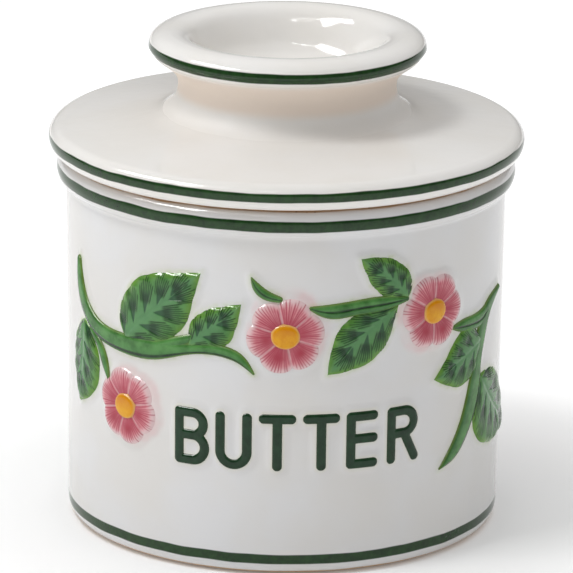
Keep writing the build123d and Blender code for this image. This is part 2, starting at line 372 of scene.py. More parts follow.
FLOWERS = {"left_flower": 44, "centre_flower": 12, "right_flower": 58}
PETAL_COUNT = 6
PETAL_REACH = 8.4
EYE_RADIUS = 2.95
EYE_STRETCH = (1.06, 0.95)    # the eyes are a little wider than high
FLOWER_HALOES = {
    # where the sprayed pink reaches furthest beyond the petals, to the right and upward, mm
    "left_flower": (1.2, 0.2),
    "centre_flower": (0.5, 1.5),
    "right_flower": (-0.9, -0.3),
}

# letters, between the centre lines of their strokes
LETTER_HALF_STROKE = 1.1
BASELINE = 24.6
CAP_HEIGHT = 10.4
WAIST = 5.5
LETTER_WIDTH = 5.8
LETTER_PITCH = 9.3
BAR_LENGTH = 5.0
BOWL_REACH = 3.1
WORD_MIDDLE = 3.5


def stem_path(name):
    """The fine centre line of a stalk, with its half width."""
    stations = STEMS[name][0]
    return smooth_line(stations, 10 * len(stations))


def leaf_edges(name, count):
    """Midrib and the two margins of a leaf, each from base to tip."""
    base, one_side, tip, other_side, midrib, lobes = LEAVES[name]
    middle = smooth_line([base] + midrib + [tip], count)
    margins = []
    for points, lobe_count in zip((one_side, other_side), lobes):
        margin = smooth_line([base] + points + [tip], count)
        u = np.linspace(0, 1, count)
        scallop = 0.22 * np.abs(np.sin(np.pi * lobe_count * u)) * np.sin(np.pi * u)
        outward = margin - middle
        outward /= np.maximum(np.hypot(*outward.T), 1e-6)[:, None]
        margins.append(margin + outward * scallop[:, None])
    return middle, margins


def letter_strokes():
    """Each capital of the contents' plain name as a list of stroke centre lines on the wall."""
    radius = LETTER_WIDTH / 2
    post = [line((0, 0), (0, CAP_HEIGHT))]
    sides = [line((side, radius), (side, CAP_HEIGHT)) for side in (0, LETTER_WIDTH)]
    leg = [line((BOWL_REACH, WAIST), (LETTER_WIDTH, 0))]
    upper_bowl = bars((WAIST, CAP_HEIGHT), BOWL_REACH) + bowl(WAIST, CAP_HEIGHT)
    letter_b = post + upper_bowl + bars([0], BOWL_REACH) + bowl(0, WAIST)
    letter_u = sides + [bow((radius, radius), (radius, radius), 180, 360, 24)]
    letter_t = bars([CAP_HEIGHT], LETTER_WIDTH) + [line((radius, 0), (radius, CAP_HEIGHT))]
    letter_e = post + bars((0, WAIST, CAP_HEIGHT), BAR_LENGTH)
    letter_r = post + upper_bowl + leg
    word = [letter_b, letter_u, letter_t, letter_t, letter_e, letter_r]
    start = WORD_MIDDLE - ((len(word) - 1) * LETTER_PITCH + LETTER_WIDTH) / 2
    placed = []
    for i, letter in enumerate(word):
        placed.append([place_stroke(path, start + i * LETTER_PITCH) for path in letter])
    return placed


def bars(heights, length):
    """Level strokes from the letter's left side."""
    return [line((0, height), (length, height)) for height in heights]


def bowl(low, high):
    """A half circle to the right of the bars at two heights."""
    radius = (high - low) / 2
    return [bow((BOWL_REACH, low + radius), (radius, radius), -90, 90, 20)]


def line(start, end):
    """A straight stroke."""
    return np.array([start, end], float)


def place_stroke(path, left):
    """A letter's stroke moved to its place on the wall, with its half width."""
    half_width = np.full(len(path), LETTER_HALF_STROKE)
    return np.column_stack([path[:, 0] + left, path[:, 1] + BASELINE, half_width])


# ------------------------------------------------------------------ distances on the wall
def stroke_distance(points, path):
    """For each point: distance outside the stroke's edge, centre point, half width and side."""
    start, end = path[:-1], path[1:]
    along = end[:, :2] - start[:, :2]
    offset = points[:, None] - start[None, :, :2]
    share = (offset * along).sum(-1) / (along**2).sum(-1)
    share = np.clip(share, 0, 1)
    half = start[:, 2] + share * (end[:, 2] - start[:, 2])
    centre = start[None, :, :2] + share[..., None] * along
    gap = points[:, None] - centre
    reach = np.hypot(gap[..., 0], gap[..., 1])
    pick = np.argmin(reach - half, axis=1)
    row = np.arange(len(points))
    gap, half, reach = gap[row, pick], half[row, pick], reach[row, pick]
    across = (along[pick, 0] * gap[:, 1] - along[pick, 1] * gap[:, 0]) / np.hypot(*along[pick].T)
    return reach - half, centre[row, pick], half, across / half


def outline_distance(points, outline):
    """Distance outside a closed outline, negative inside."""
    start = outline
    end = np.roll(outline, -1, axis=0)
    along = end - start
    offset = points[:, None] - start
    share = (offset * along).sum(-1) / np.maximum((along**2).sum(-1), 1e-12)
    gap = offset - np.clip(share, 0, 1)[..., None] * along
    reach = np.sqrt((gap**2).sum(-1)).min(axis=1)
    above = start[:, 1] > points[:, None, 1]
    crosses = above != (end[:, 1] > points[:, None, 1])
    rise = np.where(along[:, 1] == 0, 1e-12, along[:, 1])
    cut = start[:, 0] + (points[:, None, 1] - start[:, 1]) / rise * along[:, 0]
    inside = (crosses & (points[:, None, 0] < cut)).sum(axis=1) % 2 == 1
    return np.where(inside, -reach, reach)


def petal_edge(angle, turn):
    """Reach of the petals at an angle round the flower, and how near it is to a petal's middle."""
    lobe = np.abs(np.cos(PETAL_COUNT / 2 * (angle - math.radians(turn))))
    return PETAL_REACH * (0.86 + 0.14 * lobe**0.6), lobe


def least_distance(points, shapes, margin=5.0):
    """The least distance from each point to any of several (kind, shape) ornaments."""
    least = np.full(len(points), margin)
    for measure, shape in shapes:
        low = shape[:, :2].min(0) - margin
        high = shape[:, :2].max(0) + margin
        pick = np.all((points >= low) & (points <= high), axis=1)
        if pick.any():
            found = measure(points[pick], shape)
            least[pick] = np.minimum(least[pick], found)
    return least


def stroke_edge(points, path):
    """Distance outside a stroke."""
    return stroke_distance(points, path)[0]


def flower_outline(name, shift=(0.0, 0.0)):
    """The outline of a flower's petals on the wall."""
    s, z = wall_place(name + "_eye")
    angle = np.linspace(0, 2 * np.pi, 90, endpoint=False)
    reach, _ = petal_edge(angle, FLOWERS[name])
    outline = np.column_stack([s + reach * np.cos(angle), z + reach * np.sin(angle)])
    return outline + np.asarray(shift)


# how far each tint of the glaze round the ornament reaches, mm
WALL_MARKS = {"green_halo": 0.6, "pink_halo": 0.8, "word_edge": 0.35}


def wall_marks(angle, height):
    """How far the wall swells, and how its glaze is tinted, at each of its points."""
    angle = (angle + np.pi) % (2 * np.pi) - np.pi
    points = np.column_stack([angle * WALL_RADIUS, height])
    other_way = np.where(points[:, 0] > 0, 0.0, 2 * HALF_ROUND) - BACK_TURN * WALL_RADIUS
    behind = points + np.column_stack([other_way, np.zeros(len(points))])
    greens = [(stroke_edge, stem_path(name)) for name in STEMS]
    for name in LEAVES:
        _, (one, other) = leaf_edges(name, 40)
        greens.append((outline_distance, np.vstack([one, other[-2:0:-1]])))
    petals = [(outline_distance, flower_outline(name)) for name in FLOWERS]
    haloes = [(outline_distance, flower_outline(name, FLOWER_HALOES[name])) for name in FLOWERS]
    word = [(stroke_edge, path) for letter in letter_strokes() for path in letter]
    from_green, from_petal, from_halo = [
        np.minimum(least_distance(points, shapes), least_distance(behind, shapes))
        for shapes in (greens, petals, haloes)
    ]
    from_word = least_distance(points, word)
    nearest = np.minimum(np.minimum(from_green, from_petal), from_word)
    swell = RELIEF_BASE * smoothstep(1 - nearest / SWELL_WIDTH)
    marks = {
        key: np.exp(-((np.maximum(distance, 0) / WALL_MARKS[key]) ** 2))
        for key, distance in zip(WALL_MARKS, (from_green, from_halo, from_word))
    }
    return swell, marks


# ------------------------------------------------------------------ node trees
class Paint:
    """A material with short calls for the nodes used here."""

    def __init__(self, name, **sockets):
        self.material = bpy.data.materials.new(name)
        self.material.use_nodes = True
        self.nodes = self.material.node_tree.nodes
        self.links = self.material.node_tree.links
        self.shader = self.nodes["Principled BSDF"]
        for key, value in sockets.items():
            self.shader.inputs[key.replace("_", " ")].default_value = value
        self.place = self.nodes.new("ShaderNodeTexCoord").outputs["Object"]

    def feed(self, socket, value):
        """Sets a socket to a number or colour, or links another socket to it."""
        if isinstance(value, bpy.types.NodeSocket):
            self.links.new(value, socket)
        elif isinstance(value, tuple):
            socket.default_value = (*value, 1.0)
        else:
            socket.default_value = value

    def node(self, kind, **inputs):
        """A new node with some of its inputs set."""
        node = self.nodes.new("ShaderNode" + kind)
        for key, value in inputs.items():
            self.feed(node.inputs[key.replace("_", " ")], value)
        return node

    def attribute(self, name):
        """A number stored on the mesh."""
        node = self.node("Attribute")
        node.attribute_name = name
        return node.outputs["Fac"]

    def height(self):
        """Height above the table in mm."""
        node = self.node("SeparateXYZ", Vector=self.place)
        return self.times(node.outputs["Z"], 1 / MM)

    def radius(self):
        """Distance from the pot's axis in mm."""
        node = self.node("VectorMath", Vector=self.place)
        node.operation = "MULTIPLY"
        node.inputs[1].default_value = (1 / MM, 1 / MM, 0)
        length = self.node("VectorMath")
        length.operation = "LENGTH"
        self.links.new(node.outputs[0], length.inputs[0])
        return length.outputs["Value"]

    def math(self, operation, first, second=0.0, clamp=False):
        """One sum of two numbers."""
        node = self.node("Math")
        node.operation = operation
        node.use_clamp = clamp
        self.feed(node.inputs[0], first)
        self.feed(node.inputs[1], second)
        return node.outputs[0]

    def times(self, first, second):
        """The product of two numbers."""
        return self.math("MULTIPLY", first, second)

    def noise(self, size_mm, detail=2.0, roughness=0.5):
        """Soft noise from 0 to 1 whose blotches are about size_mm across."""
        scale = 1 / (size_mm * MM)
        node = self.node(
            "TexNoise", Vector=self.place, Scale=scale, Detail=detail, Roughness=roughness
        )
        return node.outputs["Fac"]

    def spots(self, size_mm):
        """Distance to the nearest of scattered points, in units of their spacing."""
        node = self.node("TexVoronoi", Vector=self.place, Scale=1 / (size_mm * MM))
        return node.outputs["Distance"]

    def spread(self, value, low, high, to_low=0.0, to_high=1.0):
        """A number stretched from one range to another, smoothly and clamped."""
        node = self.node(
            "MapRange", Value=value, From_Min=low, From_Max=high, To_Min=to_low, To_Max=to_high
        )
        node.interpolation_type = "SMOOTHSTEP"
        return node.outputs["Result"]

    def span(self, value, low, high, soft):
        """1 while a number is between low and high, with edges that are soft wide."""
        rise = self.spread(value, low - soft, low + soft)
        fall = self.spread(value, high - soft, high + soft, 1.0, 0.0)
        return self.times(rise, fall)

    def mix(self, factor, first, second):
        """A blend of two colours."""
        node = self.node("Mix")
        node.data_type = "RGBA"
        self.feed(node.inputs["Factor"], factor)
        self.feed(node.inputs["A"], first)
        self.feed(node.inputs["B"], second)
        return node.outputs["Result"]

    def colour(self, value):
        self.feed(self.shader.inputs["Base Color"], value)

    def roughness(self, value):
        self.feed(self.shader.inputs["Roughness"], value)

    def bump(self, height, depth_mm, strength=1.0):
        """Raises the surface by a height from 0 to 1 that stands for depth_mm."""
        node = self.node("Bump", Height=height, Strength=strength, Distance=depth_mm * MM)
        self.links.new(node.outputs["Normal"], self.shader.inputs["Normal"])


def srgb(red, green, blue):
    """A colour given as screen values from 0 to 255, as the linear numbers that nodes use."""
    share = [value / 255 for value in (red, green, blue)]
    return tuple(v / 12.92 if v <= 0.04045 else ((v + 0.055) / 1.055) ** 2.4 for v in share)


# Crock and lid wear one white glaze: the crock's tones are painted darker than the lid's, painted shade
# for the dimmer light on its upright wall.
SHADED_CROCK_WHITE = srgb(220, 220, 221), srgb(218, 216, 213)
LID_WHITE = srgb(235, 233, 230), srgb(232, 229, 224)
BAND_GREEN = srgb(32, 66, 28)
BAND_DARK = srgb(20, 46, 20)
BARE_CLAY = srgb(190, 160, 128)


def band_mask(paint, height, low, high, inner=0.0):
    """1 between two heights and outside a radius, with a slightly unsteady brushed edge."""
    wander = paint.times(paint.math("SUBTRACT", paint.noise(9.0, 1.0), 0.5), 0.5)
    height = paint.math("ADD", height, wander)
    outside = paint.spread(paint.radius(), inner, inner + 0.1)
    return paint.times(paint.span(height, low, high, 0.12), outside)


def white_glaze(name, whites, bands, bare, warm=(0.0, 0.0)):
    """Glossy white glaze with painted green bands and bare clay where the pot was wiped.

    whites are the two tones it drifts between; bands and bare are lists of (low, high, inner
    radius) in mm; warm is a range of heights, outside the knob's bowl, where the glaze is
    tinted warmer and made duller.
    """
    paint = Paint(name, IOR=1.5, Specular_IOR_Level=0.35)
    height = paint.height()
    cloud = paint.spread(paint.noise(22.0, 3.0), 0.3, 0.7)
    colour = paint.mix(cloud, *whites)
    grain = paint.spread(paint.noise(0.7, 4.0, 0.6), 0.62, 0.74, 0.0, 0.05)
    colour = paint.mix(grain, colour, srgb(205, 196, 182))
    if warm[1] > warm[0]:
        outside = paint.spread(paint.radius(), 21.5, 22.5)
        warm_zone = paint.times(paint.span(height, *warm, 1.3), outside)
        colour = paint.mix(paint.times(warm_zone, 0.6), colour, srgb(232, 210, 190))
    mottle = paint.spread(paint.noise(2.2, 3.0), 0.35, 0.75, 0.25, 1.0)
    green = paint.times(paint.attribute("green_halo"), mottle)
    green = paint.times(green, 0.55)
    colour = paint.mix(green, colour, srgb(176, 192, 128))
    pink_cloud = paint.spread(paint.noise(5.0, 2.0), 0.3, 0.7, 0.1, 0.45)
    pink = paint.times(paint.attribute("pink_halo"), pink_cloud)
    colour = paint.mix(pink, colour, srgb(222, 176, 178))
    edge = paint.times(paint.attribute("word_edge"), 0.35)
    colour = paint.mix(edge, colour, srgb(206, 204, 170))
    brush = paint.spread(paint.noise(1.6, 4.0, 0.65), 0.3, 0.75)
    band_colour = paint.mix(brush, BAND_GREEN, BAND_DARK)
    for low, high, inner in bands:
        colour = paint.mix(band_mask(paint, height, low, high, inner), colour, band_colour)
    rough = paint.spread(paint.noise(6.0, 3.0), 0.3, 0.7, 0.06, 0.12)
    if warm[1] > warm[0]:
        dull = paint.times(paint.span(height, warm[0] - 4.2, warm[1], 0.7), outside)
        rough = paint.math("ADD", rough, paint.times(dull, 0.5))
    speckle = paint.mix(paint.spread(paint.spots(1.1), 0.1, 0.3), srgb(150, 118, 88), BARE_CLAY)
    for low, high, inner in bare:
        mask = band_mask(paint, height, low, high, inner)
        colour = paint.mix(mask, colour, speckle)
        rough = paint.math("ADD", rough, paint.times(mask, 0.6), clamp=True)
    paint.colour(colour)
    paint.roughness(rough)
    ripple = paint.times(paint.noise(3.5, 2.0), 0.8)
    pits = paint.spread(paint.spots(1.6), 0.02, 0.10, 0.0, 0.2)
    paint.bump(paint.math("ADD", ripple, pits), 0.035)
    return paint.material


COLOURED = {"IOR": 1.5, "Specular_IOR_Level": 0.32}


def coloured_glaze(paint, colour):
    """The material of a coloured glaze: its colour, and the gloss and surface that all share."""
    paint.colour(colour)
    paint.roughness(paint.spread(paint.noise(1.4, 3.0), 0.3, 0.7, 0.08, 0.2))
    paint.bump(paint.noise(0.9, 3.0, 0.6), 0.03)
    return paint.material


def leaf_glaze():
    """Green glaze: yellow-green margins, blue-green middle, dark blotches and brushed hatching."""
    paint = Paint("leaf_glaze", **COLOURED)
    wash = paint.spread(paint.noise(3.0, 3.0, 0.6), 0.3, 0.7)
    colour = paint.mix(wash, srgb(58, 112, 48), srgb(84, 138, 70))
    middle = paint.times(paint.attribute("middle"), 0.7)
    colour = paint.mix(middle, colour, srgb(88, 136, 92))
    rim = paint.times(paint.attribute("rim"), paint.spread(wash, 0, 1, 0.35, 0.75))
    colour = paint.mix(rim, colour, srgb(106, 146, 46))
    blotch = paint.times(paint.attribute("blotch"), 0.85)
    colour = paint.mix(blotch, colour, srgb(30, 70, 44))
    hatch = paint.times(paint.attribute("hatch"), 0.97)
    colour = paint.mix(hatch, colour, srgb(8, 40, 10))
    return coloured_glaze(paint, colour)


def stem_glaze():
    """Green glaze with a dark line brushed along one side and an olive edge."""
    paint = Paint("stem_glaze", **COLOURED)
    wash = paint.spread(paint.noise(3.5, 3.0, 0.6), 0.3, 0.7)
    colour = paint.mix(wash, srgb(54, 104, 46), srgb(84, 140, 72))
    shade = paint.times(paint.attribute("shade"), 0.5)
    colour = paint.mix(shade, colour, srgb(46, 92, 52))
    rim = paint.times(paint.attribute("rim"), 0.7)
    colour = paint.mix(rim, colour, srgb(112, 130, 58))
    streak = paint.spread(paint.noise(2.4, 2.0), 0.25, 0.6, 0.7, 1.0)
    line_mask = paint.times(paint.attribute("line"), streak)
    colour = paint.mix(line_mask, colour, srgb(10, 40, 14))
    return coloured_glaze(paint, colour)


def petal_glaze():
    """Pink glaze: crimson hearts, fine crimson strokes and margins that fade to white."""
    paint = Paint("petal_glaze", **COLOURED)
    wash = paint.spread(paint.noise(1.8, 3.0, 0.6), 0.3, 0.7)
    colour = paint.mix(wash, srgb(206, 124, 134), srgb(216, 148, 154))
    colour = paint.mix(paint.attribute("pale"), colour, srgb(222, 196, 197))
    colour = paint.mix(paint.attribute("deep"), colour, srgb(158, 30, 50))
    colour = paint.mix(paint.attribute("streak"), colour, srgb(166, 54, 74))
    return coloured_glaze(paint, colour)


def eye_glaze():
    """Orange-yellow glaze, mottled, deeper on top and paler where it meets the petals."""
    paint = Paint("eye_glaze", **COLOURED)
    wash = paint.spread(paint.noise(1.6, 4.0, 0.65), 0.3, 0.72)
    colour = paint.mix(wash, srgb(214, 142, 0), srgb(226, 166, 22))
    colour = paint.mix(paint.attribute("crown"), colour, srgb(204, 126, 0))
    colour = paint.mix(paint.attribute("rim"), colour, srgb(224, 178, 116))
    return coloured_glaze(paint, colour)


def letter_glaze():
    """Dark green glaze, brushed on, thinner along the edges of the strokes."""
    paint = Paint("letter_glaze", **COLOURED)
    wash = paint.spread(paint.noise(2.0, 4.0, 0.6), 0.3, 0.7)
    colour = paint.mix(wash, srgb(8, 42, 18), srgb(20, 56, 30))
    rim = paint.times(paint.attribute("rim"), 0.3)
    colour = paint.mix(rim, colour, srgb(62, 82, 50))
    return coloured_glaze(paint, colour)


# ------------------------------------------------------------------ the turned pieces
def crock_profile():
    """Radius and height round the pot, from the middle of its underside to the middle of its floor."""
    collar = COLLAR_RADIUS - 0.1
    collar_height = 77.0
    seat_outer = 47.2
    seat_inner = 45.3
    mouth = seat_inner - INNER_TOP[0]
    corner = 6.0
    return np.vstack([
        run((0, 1.5), (36.0, 1.5), 5),
        bow((36.0, 0.5), (2.0, 1.0), 90, 30, 4),
        bow((39.4, 0.9), (0.9, 0.85), 180, 270, 5),
        bow((43.3, 3.25), (3.25, 3.2), -90, 0, 10)[:-1],
        run(WALL_BOTTOM, WALL_TOP, 112),
        smooth_line([WALL_TOP, (47.32, 73.9), (48.35, 74.9), (collar, collar_height)], 12)[:-1],
        bow((seat_outer, collar_height), (collar - seat_outer, SEAT - 0.05 - collar_height), 0, 90, 10),
        bow((seat_inner, SEAT - 0.05 - mouth), (mouth, mouth), 90, 180, 8)[:-1],
        run(INNER_TOP, INNER_BOTTOM, 8),
        bow((INNER_BOTTOM[0] - corner, FLOOR + corner), (corner, corner), 0, -90, 10)[:-1],
        run((INNER_BOTTOM[0] - corner, FLOOR), (0, FLOOR), 3),
        [(0, FLOOR)],
    ])


def crock_piece(material):
    """The pot, its wall swelling softly under the garland and the word."""
    profile = crock_profile()
    kept = {}

    def swell(angle, radius, height):
        outside = (radius > 46.0) & (height > WALL_BOTTOM[1] + 2) & (height < WALL_TOP[1])
        rise = np.zeros(len(radius))
        marks = {key: np.zeros(len(radius)) for key in WALL_MARKS}
        rise[outside], found = wall_marks(angle[outside], height[outside])
        for key, values in found.items():
            marks[key][outside] = values
        kept.update(marks)
        waver = 0.05 * np.sin(2 * angle + 0.8) + 0.03 * np.sin(3 * angle + height / 14)
        return rise + waver * (radius > 30)

    places, faces = turned_mesh(profile, 540, swell)
    marks = {key: np.r_[values, 0, 0] for key, values in kept.items()}
    return make_piece(
        "crock", places, faces, material, "crock", ["crock_base"], marks
    )


def lid_profile():
    """Radius and height round the lid, from the middle of the bell's ceiling to the bowl's floor."""
    edge = FLANGE_RADIUS - 0.05
    crest = TOP - 0.02
    neck = (23.4, 94.6)
    knob = (29.75, 103.45)
    lip = (20.5, 104.5)
    turn = (17.5, 97.8)
    ceiling = 83.6
    bell_inside = 32.7
    corner = 3.0
    edge_height = 84.0
    under = SEAT + 0.03
    shoulder = (48.3, 86.5)
    inner = (31.0, 88.4)
    return np.vstack([
        run((0, ceiling), (bell_inside - corner, ceiling), 6),
        bow((bell_inside - corner, SEAT), (corner, corner), 90, 0, 8)[:-1],
        run((bell_inside, under), (47.6, under), 8),
        bow((48.0, edge_height), (edge - 48.0, edge_height - under), -90, 0, 14)[:-1],
        bow((shoulder[0], edge_height), (edge - shoulder[0], 2.5), 0, 86, 12)[:-1],
        run(shoulder, inner, 14),
        smooth_line([inner, (27.3, 89.2), (24.6, 91.2), neck], 20)[:-1],
        smooth_line([neck, (23.7, 97.0), (25.0, 98.9), (26.8, 100.4), (28.7, 101.9), knob], 26)[:-1],
        smooth_line([knob, (29.3, 105.2), (28.1, 106.2), (25.2, crest)], 16)[:-1],
        smooth_line([(25.2, crest), (23.3, 106.65), (22.1, 106.2), (21.2, 105.5), lip], 20)[:-1],
        smooth_line([lip, (19.7, 102.8), (19.0, 100.9), (18.4, 99.3), turn], 24)[:-1],
        smooth_line([turn, (15.8, 96.2), (13.0, 95.0), (8.0, 94.3)], 16),
        [(0, 94.1)],
    ])


def lid_piece(material):
    """Flange, neck and rolled knob in one throw."""
    profile = lid_profile()

    def swell(angle, radius, height):
        waver = 0.04 * np.sin(2 * angle + 2.1) + 0.03 * np.sin(3 * angle + height / 9)
        return waver * np.clip(radius / 20, 0, 1) * (radius < 50.5) - 0.03

    places, faces = turned_mesh(profile, 400, swell)
    return make_piece("lid", places, faces, material, "lid", ["lid_top"])


def bell_piece(material):
    """The bell: an open ring of even wall with a rounded lip, closed by the lid above."""
    wall = 4.2
    fillet = 3.0
    lip = wall / 2
    lip_height = BELL_MOUTH + 0.02 + lip
    mouth_radius = 36.0
    top_radius = 36.9
    loop = np.vstack([
        bow((mouth_radius - lip, lip_height), (lip, lip), -180, 0, 18)[:-1],
        run((mouth_radius, lip_height), (top_radius, SEAT - fillet), 40),
        bow((top_radius + fillet, SEAT - fillet), (fillet, fillet), 180, 90, 8),
        run((top_radius + fillet, SEAT), (top_radius - wall, SEAT), 4)[1:],
        run((top_radius - wall, SEAT), (mouth_radius - wall, lip_height), 40),
    ])
    segments = 256
    around, radius, height = all_round(loop, segments)
    radius = radius + 0.04 * np.sin(2 * around + height / 17) - 0.04
    places = round_places(around, radius, height)
    index = np.arange(len(places)).reshape(len(loop), segments)
    above = np.roll(index, -1, axis=0)
    right = np.roll(index, -1, axis=1)
    corner = np.roll(above, -1, axis=1)
    faces = np.stack([index, right, corner, above], axis=-1).reshape(-1, 4).tolist()
    return make_piece("bell", places, faces, material, "lid", ["lid_bell"])


# ------------------------------------------------------------------ the relief ornament
def lobe_marks(points, middle, margins, lobes, seed):
    """Blotches and hatching strokes that fan out from the midrib, one fan to each lobe."""
    pick = np.random.default_rng(seed)
    blotch = np.zeros(len(points))
    hatch = np.zeros(len(points))
    last = len(middle) - 1
    long = np.hypot(*np.diff(middle, axis=0).T).sum()
    for margin, lobe_count in zip(margins, lobes):
        for k in range(lobe_count):
            share = 0.03 + 0.76 * k / lobe_count
            root = middle[int(share * last)]
            aim = margin[min(int((share + 0.27) * last), last)]
            origin = root + 0.10 * (aim - root)
            reach = math.dist(origin, aim)
            ray = (aim - origin) / reach
            offset = points - origin
            t = offset @ ray / reach
            w = offset[:, 1] * ray[0] - offset[:, 0] * ray[1]
            fan = min(0.40 * long / lobe_count, 0.48 * reach)
            limit = 0.12 + 0.9 * fan * np.clip(t, 0, 0.5)
            heart = smoothstep((limit - np.abs(w)) / 0.25 + 0.5)
            heart *= smoothstep((t + 0.06) / 0.10) * smoothstep((0.66 - t) / 0.26)
            blotch = np.maximum(blotch, heart)
            for lean in np.linspace(-fan, fan, 1 + round(2 * fan / 0.58)):
                end = pick.uniform(0.88, 1.08) - 0.14 * abs(lean) / fan
                thick = pick.uniform(0.13, 0.18) * (1.15 - 0.4 * t)
                bent = lean * (0.35 + 0.65 * t) + pick.uniform(-0.05, 0.05)
                stroke = np.exp(-(((w - bent) / thick) ** 2))
                stroke *= smoothstep((t - 0.20) / 0.14) * smoothstep((end - t) / 0.10)
                hatch = np.maximum(hatch, stroke * pick.uniform(0.75, 1.0))
    return blotch, hatch


def leaf_piece(name, material, seed):
    """A domed leaf with hollows along its midrib and engraved hatching."""
    base, _, tip, _, _, lobes = LEAVES[name]
    rows = int(1.15 * math.dist(base, tip) / LEAF_STEP)
    middle, margins = leaf_edges(name, rows + 2)
    middle = middle[1:-1]
    margins = [margin[1:-1] for margin in margins]
    widest = max(np.hypot(*(margin - middle).T).max() for margin in margins)
    columns = 2 * int(widest / LEAF_STEP) + 1
    v = np.linspace(-1, 1, columns)
    edge = np.where((v > 0)[None, :, None], margins[0][:, None], margins[1][:, None])
    half = np.hypot(*(edge - middle[:, None]).transpose(2, 0, 1)).ravel()
    points = (middle[:, None] + (edge - middle[:, None]) * np.abs(v)[:, None]).reshape(-1, 2)
    across = np.tile(np.abs(v), rows)
    inset = half * (1 - across)
    blotch, hatch = lobe_marks(points, middle, margins, lobes, seed)
    hollow = np.exp(-((across * half / 0.45) ** 2)) * smoothstep(half / 2)
    uneven = 0.85 + 0.20 * np.sin(1.1 * points[:, 0] + 1.7 * points[:, 1])
    height = RELIEF_BASE - 0.06 + bevelled(inset, 0.66, 0.82 * uneven)
    height += 0.16 * smoothstep(inset / 3) * (1 - across**2)
    height -= 0.14 * blotch + 0.08 * hatch + 0.10 * hollow
    height = np.maximum(height, RELIEF_BASE - 0.08)
    marks = {
        "blotch": blotch,
        "hatch": hatch,
        "rim": np.exp(-((inset / 1.2) ** 2)),
        "middle": np.exp(-((across / 0.45) ** 2)),
    }
    places, faces, behind = closed_leaf(points, height, rows, columns)
    marks = {key: np.r_[values, values[behind]] for key, values in marks.items()}
    return make_piece(
        "relief_" + name, places, faces, material, "crock", [name], marks
    )


def sheet_piece(name, points, height, faces, material, marks, node):
    """A closed solid on the wall; its marks are repeated on the hidden back."""
    places, faces = closed_sheet(points, height, faces)
    marks = {key: np.r_[values, values] for key, values in marks.items()}
    return make_piece("relief_" + name, places, faces, material, "crock", [node], marks)


def stroke_sheet(paths, step):
    """A mesh sheet that fills the union of strokes, its border drawn onto their edges."""
    margin = 3 * step
    low = np.min([p[:, :2].min(0) - p[:, 2].max() for p in paths], axis=0) - margin
    high = np.max([p[:, :2].max(0) + p[:, 2].max() for p in paths], axis=0) + margin
    columns = int((high[0] - low[0]) / step) + 1
    rows = int((high[1] - low[1]) / step) + 1
    grid = np.meshgrid(low[0] + step * np.arange(columns), low[1] + step * np.arange(rows))
    points = np.column_stack([grid[0].ravel(), grid[1].ravel()])
    found = [stroke_distance(points, path) for path in paths]
    best = np.argmin([f[0] for f in found], axis=0)
    row = np.arange(len(points))
    gap, centre, half, across = [np.array(values)[best, row] for values in zip(*found)]
    quads = grid_faces(rows, columns)[:, [0, 3, 2, 1]]
    quads = quads[(gap[quads] < 0).any(axis=1) & (gap[quads] < 0.75 * step).all(axis=1)]
    out = gap > -0.12 * step
    reach = points - centre
    length = np.maximum(np.hypot(*reach.T), 1e-9)
    points = np.where(out[:, None], centre + reach * (half / length)[:, None], points)
    gap = np.where(out, 0.0, gap)
    used, faces = np.unique(quads, return_inverse=True)
    return points[used], -gap[used], across[used], faces.reshape(-1, 4)


def stem_piece(name, parts, material):
    """A rounded stalk; parts are the names of the strokes that make it up."""
    paths = [stem_path(part) for part in parts]
    points, depth, across, faces = stroke_sheet(paths, STEP)
    found = np.array([stroke_distance(points, path)[0] for path in paths])
    line_place = np.array([STEMS[part][1] for part in parts])[found.argmin(axis=0)]
    height = RELIEF_BASE - 0.04 + 0.62 * rounded(depth, 1.3)
    line_mark = np.exp(-(((across - line_place) / 0.16) ** 4)) * smoothstep(depth / 0.3)
    height -= 0.12 * line_mark
    marks = {
        "line": line_mark,
        "rim": np.exp(-((depth / 0.32) ** 2)),
        "shade": smoothstep((0.3 - across) / 1.2),
    }
    return sheet_piece(name, points, height, faces, material, marks, name)


